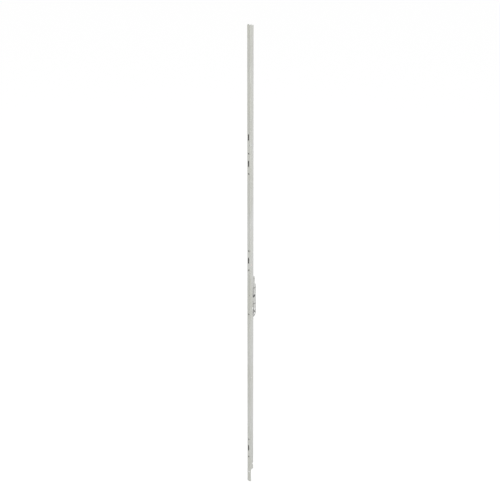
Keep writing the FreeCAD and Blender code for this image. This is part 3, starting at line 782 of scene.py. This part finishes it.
# Rack buffers: two black rubber blocks that end the rack's travel, their ends rounded.
buffer_round = 0.5
rubber_dark = (30, 30, 31)
rubber_bloom = (56, 55, 53)


def rubber_block(low, high):
    """Block whose section shrinks towards its ends as a quarter circle does."""
    upper = np.linspace(0, buffer_round, 6)
    height = np.concatenate([low[2] + upper, high[2] - upper[::-1]])
    rest = buffer_round - np.minimum(height - low[2], high[2] - height)
    inset = buffer_round - np.sqrt(np.maximum(buffer_round ** 2 - rest ** 2, 0))
    half = (high - low)[:2] / 2 - inset[:, None]
    square = eased([(-1, -1), (1, -1), (1, 1), (-1, 1)], 0.25, 6)
    flat = (low + high)[:2] / 2 + square * half[:, None]
    up = np.broadcast_to(height[:, None, None], (*flat.shape[:2], 1))
    return skin(np.concatenate([flat, up], 2), closed=False, capped=True)


def rubber(name):
    """Black moulded rubber: matte, with a dusty bloom in patches."""
    finish = finish_named(name)
    bloom = finish.cloud(1.6, detail=4)
    normal, edge = finish.edges(0.1)
    colour = finish.mix(bloom + 0.3 * edge, tone(rubber_dark), tone(rubber_bloom))
    return finish.coat(Base_Color=colour, Roughness=0.72 + 0.16 * bloom,
                       Normal=finish.relief(bloom, 0.02, normal))


piece("buffers", [rubber_block(*ends) for ends in copies("rack_buffers")],
      rubber("rubber_buffers"), "lock_frame", "buffer_rubber", "rack_buffers")


# Blocking slide: a stamped steel plate with a notch for the cylinder's cam and a nose that stops
# the hub. Two pins in the near case half guide it, and a blued leaf spring brakes its arm.
spring_thickness = 0.4
spring_width = 1.6
bump_middle = -66.0
bump_half = 3.0
foot_height = 5.0
foot_ramp = 0.6
spring_blue = (84, 92, 118)
spring_straw = (146, 130, 100)
slide_face = (176, 176, 175)
slide_shade = (148, 148, 148)

dress(hardened("stamped_slide", slide_face, slide_shade), "blocking_slide")
piece("guide_pins", [plain_pin(0, *ends) for ends in copies("slide_pins")], rivet_finish,
      "lock_frame", "rivet_steel", "slide_pins")


def leaf_spring(low, high):
    """Strip carried along Z. It bows to the slide as a raised cosine, and its foot widens to the
    case wall as a smooth step."""
    height = np.linspace(low[2], high[2], 97)
    near = np.clip(np.abs(height - bump_middle) / bump_half, 0, 1)
    rise = high[1] - low[1] - spring_thickness
    back = low[1] + spring_thickness + rise * (1 + np.cos(math.pi * near)) / 2
    foot = np.clip((height - high[2] + foot_height + foot_ramp) / foot_ramp, 0, 1)
    width = spring_width + (high[0] - low[0] - spring_width) * foot ** 2 * (3 - 2 * foot)
    square = eased([(0, -1), (1, -1), (1, 0), (0, 0)], 0.08)
    x = low[0] + square[:, 0] * width[:, None]
    y = back[:, None] + square[:, 1] * spring_thickness
    z = np.broadcast_to(height[:, None], x.shape)
    return skin(np.stack([x, y, z], 2), closed=False, capped=True)


def blued(name):
    """Spring steel strip, tempered blue with straw patches."""
    finish = finish_named(name)
    heat = finish.cloud(6, (1, 1, 3), 3)
    grain = finish.cloud(0.25, (1, 1, 30), 1)
    normal, edge = finish.edges(0.08)
    temper = finish.mix(finish.step(heat, 0.35, 0.7), tone(spring_blue), tone(spring_straw))
    colour = finish.mix(0.5 * edge, temper, tone(burnished))
    return finish.coat(Base_Color=colour, Metallic=0.9, Roughness=0.26 + 0.12 * grain,
                       Normal=finish.relief(grain, 0.008, normal))


piece("spring", [leaf_spring(*ends) for ends in copies("slide_spring", gap=100.0)],
      blued("blued_spring"), "lock_frame", "spring_steel", "slide_spring")


# Stand of the picture: a pale floor under the lower end, white all round, two soft lamps, and a
# camera to the right and above, as far off as the picture's perspective says.
floor_gap = 0.5 * mm
floor_reach = 40.0
floor_grey = 0.5
floor_glow = 0.665
room_light = 0.65
lamp_aim = 0.1
camera_turn = math.radians(45.0)
camera_dip = math.radians(20.604)
camera_reach = 5.697
camera_height = 2.367
camera_aside = 0.0138
camera_lens = 95.6


def shown_white(finish):
    """1 for the rays that carry the background to the eye: straight, mirrored or through."""
    rays = [finish.node("ShaderNodeLightPath", output=name)
            for name in ("Is Camera Ray", "Is Glossy Ray", "Is Transmission Ray")]
    return rays[0].at_least(rays[1]).at_least(rays[2])


def pale_floor(name):
    """Floor that keeps shadows: it is lit, and to the eye it also glows up to plain white."""
    finish = finish_named(name)
    lit = finish.node("ShaderNodeBsdfDiffuse", {}, {"Color": (floor_grey,) * 3 + (1.0,)})
    glow = finish.node("ShaderNodeEmission", {}, {"Strength": floor_glow})
    both = finish.node("ShaderNodeAddShader", {}, {0: lit, 1: glow})
    return finish.close(finish.node("ShaderNodeMixShader", {},
                                    {0: shown_white(finish), 1: lit, 2: both}))


floor_mesh = bpy.data.meshes.new("floor")
floor_level = cad_low[2] - floor_gap
floor_mesh.from_pydata([(x * floor_reach, y * floor_reach, floor_level)
                        for x, y in ((-1, -1), (1, -1), (1, 1), (-1, 1))], [], [(0, 1, 2, 3)])
floor_mesh.materials.append(pale_floor("pale_floor"))
floor = bpy.data.objects.new("floor", floor_mesh)
bpy.context.scene.collection.objects.link(floor)

room = Finish(bpy.data.worlds.new("white_room"))
dim = room.node("ShaderNodeBackground", {}, {"Color": (1, 1, 1, 1), "Strength": room_light})
white = room.node("ShaderNodeBackground", {}, {"Color": (1, 1, 1, 1), "Strength": 1.0})
bpy.context.scene.world = room.close(room.node("ShaderNodeMixShader", {},
                                               {0: shown_white(room), 1: dim, 2: white}))


def lamp(name, place, size, power):
    """Soft square lamp that looks at the lock, a little above its spindle."""
    light = bpy.data.lights.new(name, "AREA")
    light.size = size
    light.energy = power
    made = bpy.data.objects.new(name, light)
    made.location = place
    away = np.array(place) - (0.0, 0.0, lamp_aim)
    made.rotation_euler = (math.atan2(math.hypot(away[0], away[1]), away[2]), 0.0,
                           math.atan2(away[1], away[0]) + math.pi / 2)
    bpy.context.scene.collection.objects.link(made)


lamp("lamp_right", place=(4.8, 0.3, 0.7), size=4.2, power=88)
lamp("lamp_left", place=(-1.6, -4.6, 3.4), size=4.0, power=72)

camera = bpy.data.cameras.new("camera")
camera.lens = camera_lens
camera.clip_end = 200.0
viewer = bpy.data.objects.new("camera", camera)
aim = np.array([-math.sin(camera_turn), math.cos(camera_turn), 0.0])
aside = np.array([math.cos(camera_turn), math.sin(camera_turn), 0.0])
viewer.location = -camera_reach * aim - camera_aside * aside + (0.0, 0.0, camera_height)
viewer.rotation_euler = (math.pi / 2 - camera_dip, 0.0, camera_turn)
bpy.context.scene.collection.objects.link(viewer)
bpy.context.scene.camera = viewer
bpy.context.scene.view_settings.view_transform = "Standard"
